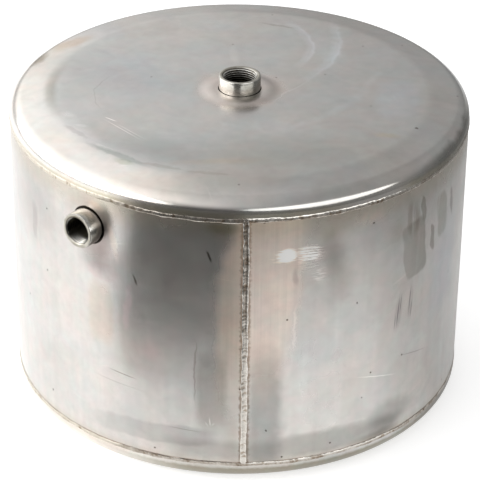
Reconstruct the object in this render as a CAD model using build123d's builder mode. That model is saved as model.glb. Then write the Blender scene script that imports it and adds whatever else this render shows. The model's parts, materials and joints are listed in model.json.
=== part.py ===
# A small upright stainless steel pressure tank of about 22 litres.
# One sheet is rolled into the shell and butt welded down the front. Two shallow pressed heads close it,
# each with a girth weld, and two threaded half sockets are let into the top head and the shell.
# Millimetres and degrees. The origin is the centre of the flat foot, +Z is up and the long seam faces -Y.

import os
from math import cos, radians, sin, sqrt, tan

from build123d import *

# Tank
tank_diameter = 350.0
seam_spacing = 208.0  # height between the centre lines of the two girth seams
sheet = 2.0  # wall of the shell and of both heads

# Pressed heads, from the seam inwards: straight flange, tight knuckle, sloping shoulder, flat crown
flange_margin = 0.3  # straight flange left showing beyond the weld bead
knuckle_radius = 11.2
shoulder_width = 23.0  # from the knuckle to the flat crown
shoulder_slope = 6.0
shoulder_bend_radius = 60.0  # where the slope eases into the flat crown

# Swage that lifts the top head up to its socket, as an S between the crown and a flat land
swage_rise = 1.4
swage_slope = 12.0

# Welds
root_gap = 1.2  # gap between the sheet edges, filled by the weld
bead_width = 5.0
bead_rise = 0.9
fillet_leg = 3.0  # inside weld that holds a socket in its hole

# Threaded half sockets: three quarter inch on top, half inch on the side
crevice = 0.6  # open ring between a socket and the edge of its hole
socket_chamfer = 0.9  # lead-in of the thread, at both ends of the bore
socket_edge_chamfer = 0.7  # outer edge of a socket's mouth
socket_tail = 2.0  # end of a socket that shows past its inside weld
top_socket_bore = 24.12
top_socket_wall = 3.94
top_socket_proud = 11.1
side_socket_bore = 18.64
side_socket_wall = 4.18
side_socket_proud = 11.4
side_socket_drop = 27.0  # below the top girth seam
side_socket_angle = 40.0  # round from the long seam, towards -X

overrun = 1.0  # how far a cut runs past the face that it leaves

# Levels and radii worked out from the sizes above
tank_radius = tank_diameter / 2
inner_radius = tank_radius - sheet
half_bead = bead_width / 2
flange_height = half_bead + flange_margin
knuckle_width = knuckle_radius * (1 - sin(radians(shoulder_slope)))
knuckle_height = knuckle_radius * cos(radians(shoulder_slope))
bend_width = shoulder_bend_radius * sin(radians(shoulder_slope))
bend_drop = shoulder_bend_radius * (1 - cos(radians(shoulder_slope)))
cone_width = shoulder_width - bend_width
cone_drop = cone_width * tan(radians(shoulder_slope))
cone_length = cone_width / cos(radians(shoulder_slope))
flat_radius = tank_radius - knuckle_width - shoulder_width
head_height = flange_height + knuckle_height + cone_drop + bend_drop
swage_radius = swage_rise / (1 - cos(radians(swage_slope))) / 2
bottom_seam_z = head_height
top_seam_z = bottom_seam_z + seam_spacing
shell_foot_z = bottom_seam_z + root_gap / 2
shell_height = seam_spacing - root_gap
land_z = top_seam_z + head_height + swage_rise
top_socket_diameter = top_socket_bore + 2 * top_socket_wall
side_socket_diameter = side_socket_bore + 2 * side_socket_wall
top_hole_radius = top_socket_diameter / 2 + crevice
land_radius = top_hole_radius + fillet_leg
side_hole_radius = side_socket_diameter / 2 + crevice
side_socket_z = top_seam_z - side_socket_drop
socket_inside = sheet + fillet_leg + socket_tail

# Planes: upright ones through the tank's axis, with Y from a seam towards its head, and the side socket's own
top_seam_plane = Plane((0, 0, top_seam_z), x_dir=(1, 0, 0), z_dir=(0, -1, 0))
bottom_seam_plane = Plane((0, 0, bottom_seam_z), x_dir=(1, 0, 0), z_dir=(0, 1, 0))
land_plane = Plane((0, 0, land_z), x_dir=(1, 0, 0), z_dir=(0, -1, 0))
side_outward = Vector(-sin(radians(side_socket_angle)), -cos(radians(side_socket_angle)), 0)
side_axis = Axis((0, 0, side_socket_z), side_outward)
side_plane = Plane((0, 0, side_socket_z), x_dir=(0, 0, 1), z_dir=side_outward)
side_section_plane = Plane((0, 0, side_socket_z), x_dir=(0, 0, 1), z_dir=Vector(0, 0, 1).cross(side_outward))


def swage_skin(depth):
    """The land and the S of the swage, at a depth below the outer skin. Returns its two ends."""
    land_height = head_height + swage_rise - depth
    land = Line((top_hole_radius, land_height), (land_radius, land_height))
    crest = JernArc(land @ 1, land % 1, swage_radius - depth, -swage_slope)
    foot = JernArc(crest @ 1, crest % 1, swage_radius + depth, swage_slope)
    return land @ 0, foot @ 1


def head_skin(depth, swaged):
    """One skin of a head, from the middle out to its flange. Returns its two ends."""
    if swaged:
        start, crown_start = swage_skin(depth)
    else:
        start = crown_start = Vector(0, head_height - depth)
    crown = Line(crown_start, (flat_radius, head_height - depth))
    bend = JernArc(crown @ 1, crown % 1, shoulder_bend_radius - depth, -shoulder_slope)
    cone = PolarLine(bend @ 1, cone_length, direction=bend % 1)
    knuckle = JernArc(cone @ 1, cone % 1, knuckle_radius - depth, shoulder_slope - 90)
    flange = Line(knuckle @ 1, (tank_radius - depth, root_gap / 2))
    return start, flange @ 1


def head_outline(swaged):
    """Half section of a head of even wall, between its outer and inner skins."""
    outer_middle, outer_rim = head_skin(0, swaged)
    inner_middle, inner_rim = head_skin(sheet, swaged)
    Line(outer_middle, inner_middle)
    Line(outer_rim, inner_rim)


def girth_cap_outline():
    """Section of a girth weld's cap, low and crowned over both edges of the seam."""
    cap = ThreePointArc((tank_radius, -half_bead), (tank_radius + bead_rise, 0), (tank_radius, half_bead))
    Line(cap @ 1, cap @ 0)


def girth_root():
    """Section of a girth weld's root, which fills the gap between shell and head."""
    with Locations((inner_radius, 0)):
        Rectangle(sheet, root_gap, align=(Align.MIN, Align.CENTER))


def root_strip(mode):
    """Keeps or cuts the strip of the shell's section that lies in the long seam's gap."""
    with Locations((0, -tank_radius)):
        Rectangle(root_gap, 2 * (sheet + overrun), mode=mode)


def socket_section(diameter, bore):
    """Cross section of a half socket, its bore at the crests of the thread."""
    Circle(diameter / 2)
    Circle(bore / 2, mode=Mode.SUBTRACT)


def dress_socket(socket, mouth_plane):
    """Chamfers both ends of a socket's bore and the outer edge of its mouth."""
    bore_edges = socket.edges().filter_by(GeomType.CIRCLE).group_by(SortBy.RADIUS)[0]
    chamfer(bore_edges, socket_chamfer)
    mouth_edges = socket.edges().filter_by(GeomType.CIRCLE).group_by(Axis((0, 0, 0), mouth_plane.z_dir))[-1]
    chamfer(mouth_edges.sort_by(SortBy.RADIUS)[-1], socket_edge_chamfer)


def fillet_outline(socket_diameter, wall):
    """Triangle of weld in the corner between a socket and the wall that it passes through."""
    corner = (socket_diameter / 2, wall)
    wall_toe = (socket_diameter / 2 + fillet_leg, wall)
    socket_toe = (socket_diameter / 2, wall - fillet_leg)
    Polyline(corner, wall_toe, socket_toe, close=True)


# Shell: one rolled sheet, open by the root gap at the long seam and holed for the side socket
with BuildPart() as shell:
    with BuildSketch(Plane.XY.offset(shell_foot_z)):
        Circle(tank_radius)
        Circle(inner_radius, mode=Mode.SUBTRACT)
        root_strip(Mode.SUBTRACT)
    extrude(amount=shell_height)
    with BuildSketch(side_plane):
        Circle(side_hole_radius)
    extrude(amount=tank_radius + overrun, mode=Mode.SUBTRACT)

# Heads: the same pressing at both ends, the top one swaged and holed for its socket
with BuildPart() as top_head:
    with BuildSketch(top_seam_plane):
        with BuildLine():
            head_outline(swaged=True)
        make_face()
    revolve(axis=Axis.Z)

with BuildPart() as bottom_head:
    with BuildSketch(bottom_seam_plane):
        with BuildLine():
            head_outline(swaged=False)
        make_face()
    revolve(axis=Axis.Z)

# Girth welds
with BuildPart() as top_girth_weld:
    with BuildSketch(top_seam_plane):
        with BuildLine():
            girth_cap_outline()
        make_face()
        girth_root()
    revolve(axis=Axis.Z)

with BuildPart() as bottom_girth_weld:
    with BuildSketch(bottom_seam_plane):
        with BuildLine():
            girth_cap_outline()
        make_face()
        girth_root()
    revolve(axis=Axis.Z)

# Long seam: the root fills the gap over the shell's whole height, and the cap dies into both girth beads
with BuildPart() as long_seam_weld:
    with BuildSketch(Plane.XY.offset(shell_foot_z)):
        Circle(tank_radius)
        Circle(inner_radius, mode=Mode.SUBTRACT)
        root_strip(Mode.INTERSECT)
    extrude(amount=shell_height)
    with BuildSketch(Plane.XY.offset(bottom_seam_z + half_bead / 2)):
        with BuildLine():
            cap_toe_y = -sqrt(tank_radius**2 - half_bead**2)
            ThreePointArc((-half_bead, cap_toe_y), (0, -tank_radius - bead_rise), (half_bead, cap_toe_y))
            ThreePointArc((-half_bead, cap_toe_y), (0, -tank_radius), (half_bead, cap_toe_y))
        make_face()
    extrude(amount=seam_spacing - half_bead)
    add(top_girth_weld.part, mode=Mode.SUBTRACT)
    add(bottom_girth_weld.part, mode=Mode.SUBTRACT)

# Half sockets, each standing in its hole with an open crevice round it
with BuildPart() as top_socket:
    top_mouth_plane = Plane.XY.offset(land_z + top_socket_proud)
    with BuildSketch(top_mouth_plane):
        socket_section(top_socket_diameter, top_socket_bore)
    extrude(amount=-top_socket_proud - socket_inside)
    dress_socket(top_socket, top_mouth_plane)

with BuildPart() as side_socket:
    side_mouth_plane = side_plane.offset(tank_radius + side_socket_proud)
    with BuildSketch(side_mouth_plane):
        socket_section(side_socket_diameter, side_socket_bore)
    extrude(amount=-side_socket_proud - socket_inside)
    dress_socket(side_socket, side_mouth_plane)

# Fillet welds inside the tank that hold the sockets: one under the land, one fitted to the curve of the shell
with BuildPart() as top_socket_weld:
    with BuildSketch(land_plane):
        with BuildLine():
            fillet_outline(top_socket_diameter, -sheet)
        make_face()
    revolve(axis=Axis.Z)

with BuildPart() as side_socket_weld:
    with BuildSketch(side_section_plane):
        with BuildLine():
            fillet_outline(side_socket_diameter, inner_radius)
        make_face()
    revolve(axis=side_axis)
    with BuildSketch(Plane.XY.offset(shell_foot_z)):
        Circle(inner_radius)
    extrude(amount=shell_height, mode=Mode.INTERSECT)

os.makedirs("parts", exist_ok=True)

shell.part.label = "shell"
top_head.part.label = "top_head"
bottom_head.part.label = "bottom_head"
top_girth_weld.part.label = "top_girth_weld"
bottom_girth_weld.part.label = "bottom_girth_weld"
long_seam_weld.part.label = "long_seam_weld"
top_socket.part.label = "top_socket"
side_socket.part.label = "side_socket"
top_socket_weld.part.label = "top_socket_weld"
side_socket_weld.part.label = "side_socket_weld"

export_step(shell.part, "parts/shell.step")
export_step(top_head.part, "parts/top_head.step")
export_step(bottom_head.part, "parts/bottom_head.step")
export_step(top_girth_weld.part, "parts/top_girth_weld.step")
export_step(bottom_girth_weld.part, "parts/bottom_girth_weld.step")
export_step(long_seam_weld.part, "parts/long_seam_weld.step")
export_step(top_socket.part, "parts/top_socket.step")
export_step(side_socket.part, "parts/side_socket.step")
export_step(top_socket_weld.part, "parts/top_socket_weld.step")
export_step(side_socket_weld.part, "parts/side_socket_weld.step")
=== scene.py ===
import json
import math
import bpy
import numpy as np
from mathutils import Matrix, Vector


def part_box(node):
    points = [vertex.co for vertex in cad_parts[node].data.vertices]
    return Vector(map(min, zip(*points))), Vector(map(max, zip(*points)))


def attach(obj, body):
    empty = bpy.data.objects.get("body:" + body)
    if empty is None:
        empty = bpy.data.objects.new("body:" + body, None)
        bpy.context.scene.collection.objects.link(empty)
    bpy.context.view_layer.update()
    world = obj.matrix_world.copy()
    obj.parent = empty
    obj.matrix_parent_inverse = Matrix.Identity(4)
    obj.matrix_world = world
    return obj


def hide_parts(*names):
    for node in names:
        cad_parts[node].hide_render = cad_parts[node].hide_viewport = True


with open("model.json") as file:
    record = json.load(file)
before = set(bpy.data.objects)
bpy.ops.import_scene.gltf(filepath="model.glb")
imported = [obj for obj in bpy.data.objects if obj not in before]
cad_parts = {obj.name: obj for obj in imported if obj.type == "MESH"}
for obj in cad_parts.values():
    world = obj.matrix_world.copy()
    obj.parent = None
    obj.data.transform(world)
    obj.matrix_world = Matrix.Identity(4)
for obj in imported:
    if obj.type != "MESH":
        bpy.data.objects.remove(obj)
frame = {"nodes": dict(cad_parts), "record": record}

scene = bpy.context.scene
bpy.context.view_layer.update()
mm = 0.001
turn = 2 * math.pi

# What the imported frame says: radii, seam levels and the two ports
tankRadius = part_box("shell")[1].y
seamLow = (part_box("bottom_girth_weld")[0].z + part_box("bottom_girth_weld")[1].z) / 2
seamHigh = (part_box("top_girth_weld")[0].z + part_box("top_girth_weld")[1].z) / 2
shellLow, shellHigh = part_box("shell")[0].z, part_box("shell")[1].z
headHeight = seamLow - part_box("bottom_head")[0].z
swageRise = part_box("top_head")[1].z - seamHigh - headHeight
ports = {mount["name"]: mount for mount in frame["record"]["mounts"]}
sideAxis = Vector(ports["side_port"]["axis"])
sideAngle = math.atan2(sideAxis.x, -sideAxis.y)
sideLevel = ports["side_port"]["pos_m"][2]
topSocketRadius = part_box("top_socket")[1].x
sideSocketRadius = (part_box("side_socket")[1].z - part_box("side_socket")[0].z) / 2
sheet = 2.0 * mm        # thickness of shell and heads
crevice = 0.6 * mm      # open gap round the top socket
sameSpot = 0.002 * mm   # points closer than this become one
print("frame read: radius", round(tankRadius, 5), "seams", round(seamLow, 5), round(seamHigh, 5))


# Meshes: grids of points worked out as whole arrays, joined at their shared borders

def gridFaces(rows, columns, wrapRows=False, wrapColumns=False, skip=None):
    # quads of a rows x columns grid of points, row after row; skip masks cells that stay open
    r = np.arange(rows if wrapRows else rows - 1)
    c = np.arange(columns if wrapColumns else columns - 1)
    rr, cc = np.meshgrid(r, c, indexing="ij")
    nextRow, nextColumn = (rr + 1) % rows * columns, (cc + 1) % columns
    corners = [rr * columns + cc, nextRow + cc, nextRow + nextColumn, rr * columns + nextColumn]
    quads = np.stack(corners, -1)
    return quads.reshape(-1, 4) if skip is None else quads[~skip]


def pieceFromGrids(name, grids, sharpAngle=35.0, **traits):
    # one closed mesh from grids of (points, faces); traits are values that each point carries
    points = np.concatenate([p.reshape(-1, 3) for p, f in grids])
    starts = np.cumsum([0] + [p.size // 3 for p, f in grids[:-1]])
    faces = np.concatenate([f + start for (p, f), start in zip(grids, starts)])
    keys = np.round(points / sameSpot).astype(np.int64)
    _, first, index = np.unique(keys, axis=0, return_index=True, return_inverse=True)
    faces = index.reshape(-1)[faces]
    same = faces == np.roll(faces, -1, axis=1)  # at a pole two corners of a quad fall together
    whole = faces[~same.any(1)]
    pole = same.sum(1) == 1
    wedges = faces[pole][~same[pole]].reshape(-1, 3)
    mesh = bpy.data.meshes.new(name)
    mesh.from_pydata(points[first], [], whole.tolist() + wedges.tolist())
    for trait, values in traits.items():
        carried = mesh.attributes.new(trait, "FLOAT", "POINT")
        carried.data.foreach_set("value", values.reshape(-1)[first])
    mesh.shade_smooth()
    mesh.set_sharp_from_angle(angle=math.radians(sharpAngle))
    piece = bpy.data.objects.new(name, mesh)
    scene.collection.objects.link(piece)
    return piece


def dress(piece, node, material):
    # the piece stands for a node of the frame, rides with it and takes its finish
    piece.data.materials.append(material)
    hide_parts(node)
    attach(piece, "root")
    print("made", piece.name, len(piece.data.polygons), "faces")


def roundTank(angle, radius, level):
    # a point of the tank: angle from the long seam, growing to the right as seen from the front
    return np.stack(np.broadcast_arrays(radius * np.sin(angle), -radius * np.cos(angle), level), -1)


def swell(angle, level, wavelength, seed, count=8, spread=(0.75, 1.35)):
    # smooth waviness of about -1..1: a sum of plane waves that close round the tank
    rng = np.random.default_rng(seed)
    heading = rng.uniform(0, turn, count)
    size = turn / (wavelength * rng.uniform(*spread, count))
    around = np.round(size * np.cos(heading) * tankRadius)
    along = size * np.sin(heading)
    phase = rng.uniform(0, turn, count)
    waves = [np.sin(a * angle + b * level + p) for a, b, p in zip(around, along, phase)]
    return sum(waves) / math.sqrt(count)


def bell(distance, width):
    # bell curve of height 1
    return np.exp(-((distance / width) ** 2))


def eased(value, low, high):
    # 0 at low and 1 at high, eased between them; low may be the larger
    t = np.clip((value - low) / (high - low), 0, 1)
    return t * t * (3 - 2 * t)


# Shell: a cylinder that its welds draw in a little, with a hole and a dimple at the side socket

shellForm = {
    "around": 360, "rows": 58, "rowsAbove": 5,         # grid of the wall, under and over the socket
    "girthShrink": 0.25 * mm, "girthReach": 13 * mm,   # drawn in beside the girth seams
    "seamPeak": 0.42 * mm, "seamReach": 13 * mm,       # sheet edges stand out at the long seam
    "wave": 0.10 * mm, "waveLength": 85 * mm,          # roll marks and handling
    "waveSeed": 3, "waveEdge": 10 * mm,                # they die out at the girth seams
    "dimple": 0.7 * mm, "dimpleReach": 15 * mm,        # pulled in round the side socket
    "lobes": 3, "lobeShare": 0.25, "lobeTurn": 0.6,    # the dimple isn't quite round
    "windowCells": 6, "rings": 14, "ringGrowth": 1.4,  # patch of rings round the socket hole
    "holeGap": 0.9 * mm,                               # the hole was cut wide of the socket
}


def shellSwell(angle, level):
    # offset from the true cylinder: shrink at the girths, peak at the long seam, waves, socket dimple
    form = shellForm
    edge = np.minimum(level - seamLow, seamHigh - level)
    angle = (angle + math.pi) % turn - math.pi
    fromSocket = np.hypot((angle - sideAngle) * tankRadius, level - sideLevel)
    heading = np.arctan2(level - sideLevel, (angle - sideAngle) * tankRadius)
    lobes = np.sin(form["lobes"] * heading + form["lobeTurn"])
    reach = form["dimpleReach"] * (1 + form["lobeShare"] * lobes)
    waves = swell(angle, level, form["waveLength"], form["waveSeed"])
    return (
        -form["girthShrink"] * bell(edge, form["girthReach"])
        + form["seamPeak"] * np.exp(-np.abs(angle) * tankRadius / form["seamReach"])
        + form["wave"] * waves * (1 - bell(edge, form["waveEdge"]))
        - form["dimple"] * bell(np.maximum(fromSocket - sideSocketRadius, 0), reach)
    )


def makeShell(material):
    form = shellForm
    cell = turn / form["around"]
    n = form["windowCells"]
    half = n * cell * tankRadius
    angles = np.linspace(-math.pi, math.pi, form["around"], endpoint=False)
    column = int(round((sideAngle + math.pi) / cell))
    angles = angles + sideAngle - angles[column]  # one grid line passes through the socket's axis
    lowRows = np.linspace(shellLow, sideLevel - half, form["rows"])
    windowRows = np.linspace(sideLevel - half, sideLevel + half, 2 * n + 1)
    highRows = np.linspace(sideLevel + half, shellHigh, form["rowsAbove"])
    levels = np.concatenate([lowRows, windowRows[1:], highRows[1:]])
    skip = np.zeros((form["around"], len(levels) - 1), bool)
    firstRow = len(lowRows) - 1
    skip[column - n:column + n, firstRow:firstRow + 2 * n] = True
    angleGrid, levelGrid = np.meshgrid(angles, levels, indexing="ij")

    # rings from the round hole out to the border of the window, which runs once round
    side = np.arange(2 * n) - n
    full = np.full(2 * n, n)
    edges = [(side, -full), (full, side), (-side, full), (-full, -side)]
    border = np.concatenate([np.stack(edge, 1) for edge in edges]) * half / n
    outward = border / np.linalg.norm(border, axis=1, keepdims=True)
    hole = outward * (sideSocketRadius + form["holeGap"])
    share = (np.linspace(0, 1, form["rings"]) ** form["ringGrowth"])[:, None, None]
    patch = hole + (border - hole) * share
    patchAngle = sideAngle + patch[..., 0] / tankRadius
    patchLevel = sideLevel + patch[..., 1]

    def wall(depth):
        swelled = tankRadius - depth + shellSwell(angleGrid, levelGrid)
        patched = tankRadius - depth + shellSwell(patchAngle, patchLevel)
        return roundTank(angleGrid, swelled, levelGrid), roundTank(patchAngle, patched, patchLevel)

    outer, outerPatch = wall(0)
    inner, innerPatch = wall(sheet)
    wallFaces = gridFaces(form["around"], len(levels), wrapRows=True, skip=skip)
    patchFaces = gridFaces(form["rings"], len(border), wrapColumns=True)
    stripFaces = gridFaces(2, form["around"], wrapColumns=True)
    rimFaces = gridFaces(2, len(border), wrapColumns=True)
    grids = [
        (outer, wallFaces), (outerPatch, patchFaces),
        (inner, wallFaces[:, ::-1]), (innerPatch, patchFaces[:, ::-1]),
        (np.stack([inner[:, -1], outer[:, -1]]), stripFaces),
        (np.stack([outer[:, 0], inner[:, 0]]), stripFaces),
        (np.stack([innerPatch[0], outerPatch[0]]), rimFaces),
    ]
    dress(pieceFromGrids("shellSheet", grids), "shell", material)


# Heads: the half section turned about the axis, slack in the crown and puckers on the shoulder

headForm = {
    "around": 360, "outerFine": 12, "innerFine": 6,    # grid of the two skins
    "knuckle": 11.2 * mm, "flange": 2.8 * mm, "slope": math.radians(6.0), "bend": 60 * mm,
    "swageSlope": math.radians(12.0), "land": 3.0 * mm,
    "slack": 0.22 * mm, "slackStart": 36 * mm,         # the flat crown isn't quite flat
    "slackGrows": 50 * mm, "slackFades": 45 * mm,
    "slackWave": (0.8, 0.6), "slackLength": 150 * mm,  # headings and lengths of two crossing waves
    "crossWave": (0.5, -0.85), "crossLength": 195 * mm,
    "pucker": 0.16 * mm, "puckerLength": 58 * mm,      # left by the press on the shoulder
    "puckerRadius": 150 * mm, "puckerReach": 13 * mm,
}


def arcPoints(start, heading, radius, sweep, count):
    # points along an arc that leaves start at a heading and turns by sweep, without its first point
    a = heading + np.linspace(0, sweep, count + 1)[1:]
    side = math.copysign(1, sweep)
    across = side * (np.sin(a) - math.sin(heading))
    rise = side * (math.cos(heading) - np.cos(a))
    return start + radius * np.stack([across, rise], 1)


def headSection(depth, swaged, fine):
    # half section of one skin, as radius and height over the seam, from the middle to the flange
    form = headForm
    slope, swageSlope = form["slope"], form["swageSlope"]
    turned = form["knuckle"] * math.cos(slope) + form["bend"] * (1 - math.cos(slope))
    fall = headHeight - form["flange"] - turned
    knuckleStart = tankRadius - form["knuckle"] * (1 - math.sin(slope))
    flat = knuckleStart - fall / math.tan(slope) - form["bend"] * math.sin(slope)
    crown = headHeight - depth
    points = np.array([[0.0, crown]])
    if swaged:
        swage = swageRise / (1 - math.cos(swageSlope)) / 2
        hole = topSocketRadius + crevice
        land = crown + swageRise
        points = np.array([[hole, land], [hole + form["land"], land]])
        crest = arcPoints(points[-1], 0, swage - depth, -swageSlope, fine)
        points = np.concatenate([points, crest])
        foot = arcPoints(points[-1], -swageSlope, swage + depth, swageSlope, fine)
        points = np.concatenate([points, foot])
    flatRadii = np.linspace(points[-1, 0], flat, 4 * fine)[1:]
    points = np.concatenate([points, np.stack([flatRadii, np.full(len(flatRadii), crown)], 1)])
    points = np.concatenate([points, arcPoints(points[-1], 0, form["bend"] - depth, -slope, fine)])
    shoulder = np.array([[fall / math.tan(slope), -fall]])
    points = np.concatenate([points, points[-1] + np.linspace(0, 1, fine)[1:, None] * shoulder])
    knuckle = arcPoints(points[-1], -slope, form["knuckle"] - depth, slope - math.pi / 2, 2 * fine)
    rim = np.array([[tankRadius - depth, seamLow - shellLow]])  # butts on the shell
    return np.concatenate([points, knuckle, rim])


def makeHead(name, node, up, swaged, seed, material):
    # both skins turned about the axis: up is 1 for the top head and -1 for the bottom one
    form = headForm
    angles = np.linspace(0, turn, form["around"], endpoint=False)[:, None]
    seam = seamHigh if up > 0 else seamLow
    (slackX, slackY), (crossX, crossY) = form["slackWave"], form["crossWave"]

    def skin(depth, fine):
        section = headSection(depth, swaged, fine)
        radius, rise = section[:, 0][None], section[:, 1][None]
        x, y = radius * np.sin(angles), -radius * np.cos(angles)
        inside = np.clip((form["puckerRadius"] - radius) / form["slackFades"], 0, 1)
        inside = inside * np.clip((radius - form["slackStart"]) / form["slackGrows"], 0, 1)
        slack = np.sin(turn * (x * slackX + y * slackY) / form["slackLength"] + seed)
        slack = slack * np.cos(turn * (x * crossX + y * crossY) / form["crossLength"] + 2 * seed)
        pucker = bell(radius - form["puckerRadius"], form["puckerReach"])
        pucker = pucker * (1 + swell(angles, radius * 0, form["puckerLength"], seed)) / 2
        drop = form["slack"] * inside * (1 + slack) / 2 + form["pucker"] * pucker
        return np.stack([x, y, seam + up * (rise - drop)], -1)

    outer, inner = skin(0, form["outerFine"]), skin(sheet, form["innerFine"])
    rows = form["around"]
    rimFaces = gridFaces(2, rows, wrapColumns=True)
    grids = [
        (outer, gridFaces(rows, outer.shape[1], wrapRows=True)[:, ::-1]),
        (inner, gridFaces(rows, inner.shape[1], wrapRows=True)),
        (np.stack([outer[:, -1], inner[:, -1]]), rimFaces),
    ]
    if swaged:
        grids.append((np.stack([inner[:, 0], outer[:, 0]]), rimFaces))
    if up < 0:
        grids = [(p, f[:, ::-1]) for p, f in grids]
    dress(pieceFromGrids(name, grids), node, material)


# Weld beads: a boxy cap with round shoulders carried along the seam, lumpy and hollow in the middle

beadForms = {
    "girth": {"width": 3.9 * mm, "rise": 0.60 * mm, "wander": 0.55 * mm, "lump": 0.13 * mm,
              "hollow": 0.20, "flanks": (0.50, 0.75)},
    "foot": {"width": 3.2 * mm, "rise": 0.30 * mm, "wander": 0.60 * mm, "lump": 0.09 * mm,
             "hollow": 0.15, "flanks": (0.45, 0.45)},
    "long": {"width": 4.6 * mm, "rise": 0.55 * mm, "wander": 0.60 * mm, "lump": 0.15 * mm,
             "hollow": 0.70, "flanks": (0.35, 0.35)},
}
beadGrid = {
    "across": 17, "under": 4, "step": 0.5 * mm, "root": 0.7 * mm, "rootShare": 0.8, "sink": 0.05 * mm,
    "sharpAngle": 60.0,
}
beadDrift = {                                         # lengths over which the bead changes
    "edge": (8 * mm, 2.6 * mm), "edgeShare": (0.6, 0.4), "middle": 16 * mm, "middleShare": 0.5,
    "lump": (1.4 * mm, 1.2 * mm, 3.6 * mm), "lumpShare": (0.7, 0.3), "bow": 1.3 * mm,
    "hollow": 12 * mm, "hollowShare": (0.8, 0.3), "hollowWidth": 0.45,
    "rise": 6 * mm, "riseShare": (0.85, 0.15),
}


def beadSection(along, form, seed, hollowShare=1.0):
    # place across and rise of the bead at each point along it: a cap of uneven width with a straight
    # flank on each side, less a bell-shaped hollow, with lumps that bow back over it and a flat root
    rng = np.random.default_rng(seed)
    column = along[:, None]
    vary = beadDrift

    def drift(length, at=column):
        # smooth random drift of -1..1 along the bead that comes back to its start
        knots = rng.uniform(-1, 1, max(4, int(along[-1] / length)))
        knots = np.append(knots, knots[0])
        place = np.clip(at / along[-1], 0, 1) * (len(knots) - 1)
        low = np.minimum(place.astype(int), len(knots) - 2)
        t = place - low
        return knots[low] + (knots[low + 1] - knots[low]) * (t * t * (3 - 2 * t))

    def halfWidth():
        # half the width, plus a slow and a quick wander
        wander = sum(share * drift(length) for share, length in zip(vary["edgeShare"], vary["edge"]))
        return form["width"] / 2 + form["wander"] * wander

    cap = np.sin(np.linspace(-math.pi / 2, math.pi / 2, beadGrid["across"]))[None]
    left = halfWidth()
    right = halfWidth()
    shift = vary["middleShare"] * form["wander"] * drift(vary["middle"])
    lower, upper = [np.clip((1 + s * cap) / f, 0, 1) for s, f in zip((1, -1), form["flanks"])]
    crown = lower * (1.25 - 0.25 * lower ** 4) * upper * (1.25 - 0.25 * upper ** 4)  # round shoulders
    bowed = column - vary["bow"] * (1 - cap ** 2)
    side = 0.5 + 0.5 * np.sin(cap * math.pi / 2)
    leftLump, rightLump, bothLump = [drift(length, bowed) for length in vary["lump"]]
    fine = leftLump * (1 - side) + rightLump * side   # few lumps cross the whole bead
    lump = (vary["lumpShare"][0] * fine + vary["lumpShare"][1] * bothLump) * crown
    depth = vary["hollowShare"][0] + vary["hollowShare"][1] * drift(vary["hollow"])
    hollow = form["hollow"] * hollowShare * bell(cap, vary["hollowWidth"]) * depth
    height = vary["riseShare"][0] + vary["riseShare"][1] * drift(vary["rise"])
    capRise = form["rise"] * (crown - hollow) * height + form["lump"] * lump
    root = np.linspace(beadGrid["rootShare"], -beadGrid["rootShare"], beadGrid["under"])[None]
    across = np.concatenate([cap, root], 1) + 0 * left
    place = np.where(across < 0, across * left, across * right) + shift
    under = np.ones((len(along), beadGrid["under"]))
    rise = np.concatenate([capRise, -beadGrid["root"] * under], 1)
    lump = np.concatenate([lump, 0 * under], 1)
    return place, rise - beadGrid["sink"], across, lump


girthLook = {
    "drawShare": 0.4,                                   # how far the bead follows the drawn-in shell
    "sag": 1.7 * mm, "sagLeft": (-0.62, -0.42), "sagRight": (1.3, 0.9),  # laid low along the front
    "soot": 0.12, "frontSoot": 0.45, "sootyFrom": (-0.66, -0.5),         # headings from the long seam
    "cornerSoot": 0.43, "cornerReach": 6 * mm,          # where the long seam meets it
    "footEdge": (-0.5, -0.85), "footEnds": (0.05, -0.05), "footShare": 0.6,
    "topEdge": (0.05, 0.45), "topStarts": (-0.03, 0.03), "topEnds": (0.88, 0.66),
    "topAgain": (-0.5, -0.6), "dullFrom": (-0.35, -0.65),
}


def makeGirthBead(name, node, seam, kind, sag, seed, material):
    # the section goes once round the tank from the back, standing on the drawn-in seam
    look = girthLook
    steps = int(turn * tankRadius / beadGrid["step"])
    angles = np.linspace(-math.pi, math.pi, steps, endpoint=False)
    place, rise, across, lump = beadSection((angles + math.pi) * tankRadius, beadForms[kind], seed)
    low = eased(angles, *look["sagLeft"]) * eased(angles, *look["sagRight"])
    place = place - sag * low[:, None]
    base = tankRadius + look["drawShare"] * shellSwell(angles, np.full(steps, seam))[:, None]
    points = roundTank(angles[:, None], base + rise, seam + place)
    faces = gridFaces(*place.shape, wrapRows=True, wrapColumns=True)

    # soot along the front, less on its pale foot on the left and on its top edge, which is left pale where
    # the lamps' highlights fall on it: in part a painted highlight
    soot = look["soot"] + look["frontSoot"] * eased(angles, *look["sootyFrom"])
    soot = soot + look["cornerSoot"] * bell(angles * tankRadius, look["cornerReach"])
    paleFoot = eased(across, *look["footEdge"]) * eased(angles, *look["footEnds"])[:, None]
    # the pale top edge, in part a painted highlight
    paleTop = eased(angles, *look["topStarts"]) * eased(angles, *look["topEnds"])
    paleTop = eased(across, *look["topEdge"]) * (paleTop + eased(angles, *look["topAgain"]))[:, None]
    soot = soot[:, None] * (1 - paleTop) * (1 - look["footShare"] * paleFoot)
    dull = eased(angles, *look["dullFrom"])[:, None] + 0 * across
    piece = pieceFromGrids(name, [(points, faces)], beadGrid["sharpAngle"],
                           across=across, lump=lump, soot=soot, dull=dull)
    dress(piece, node, material)


longLook = {
    "seed": 21, "inset": 0.6 * mm, "taper": 2.2 * mm,   # ends inside the girth beads
    "upperFrom": 105 * mm, "upperOver": 45 * mm,        # where the full lower half turns hollow
    "soot": 0.22, "upperSoot": 0.42, "sootEdge": (0.85, 0.35),
}


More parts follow.
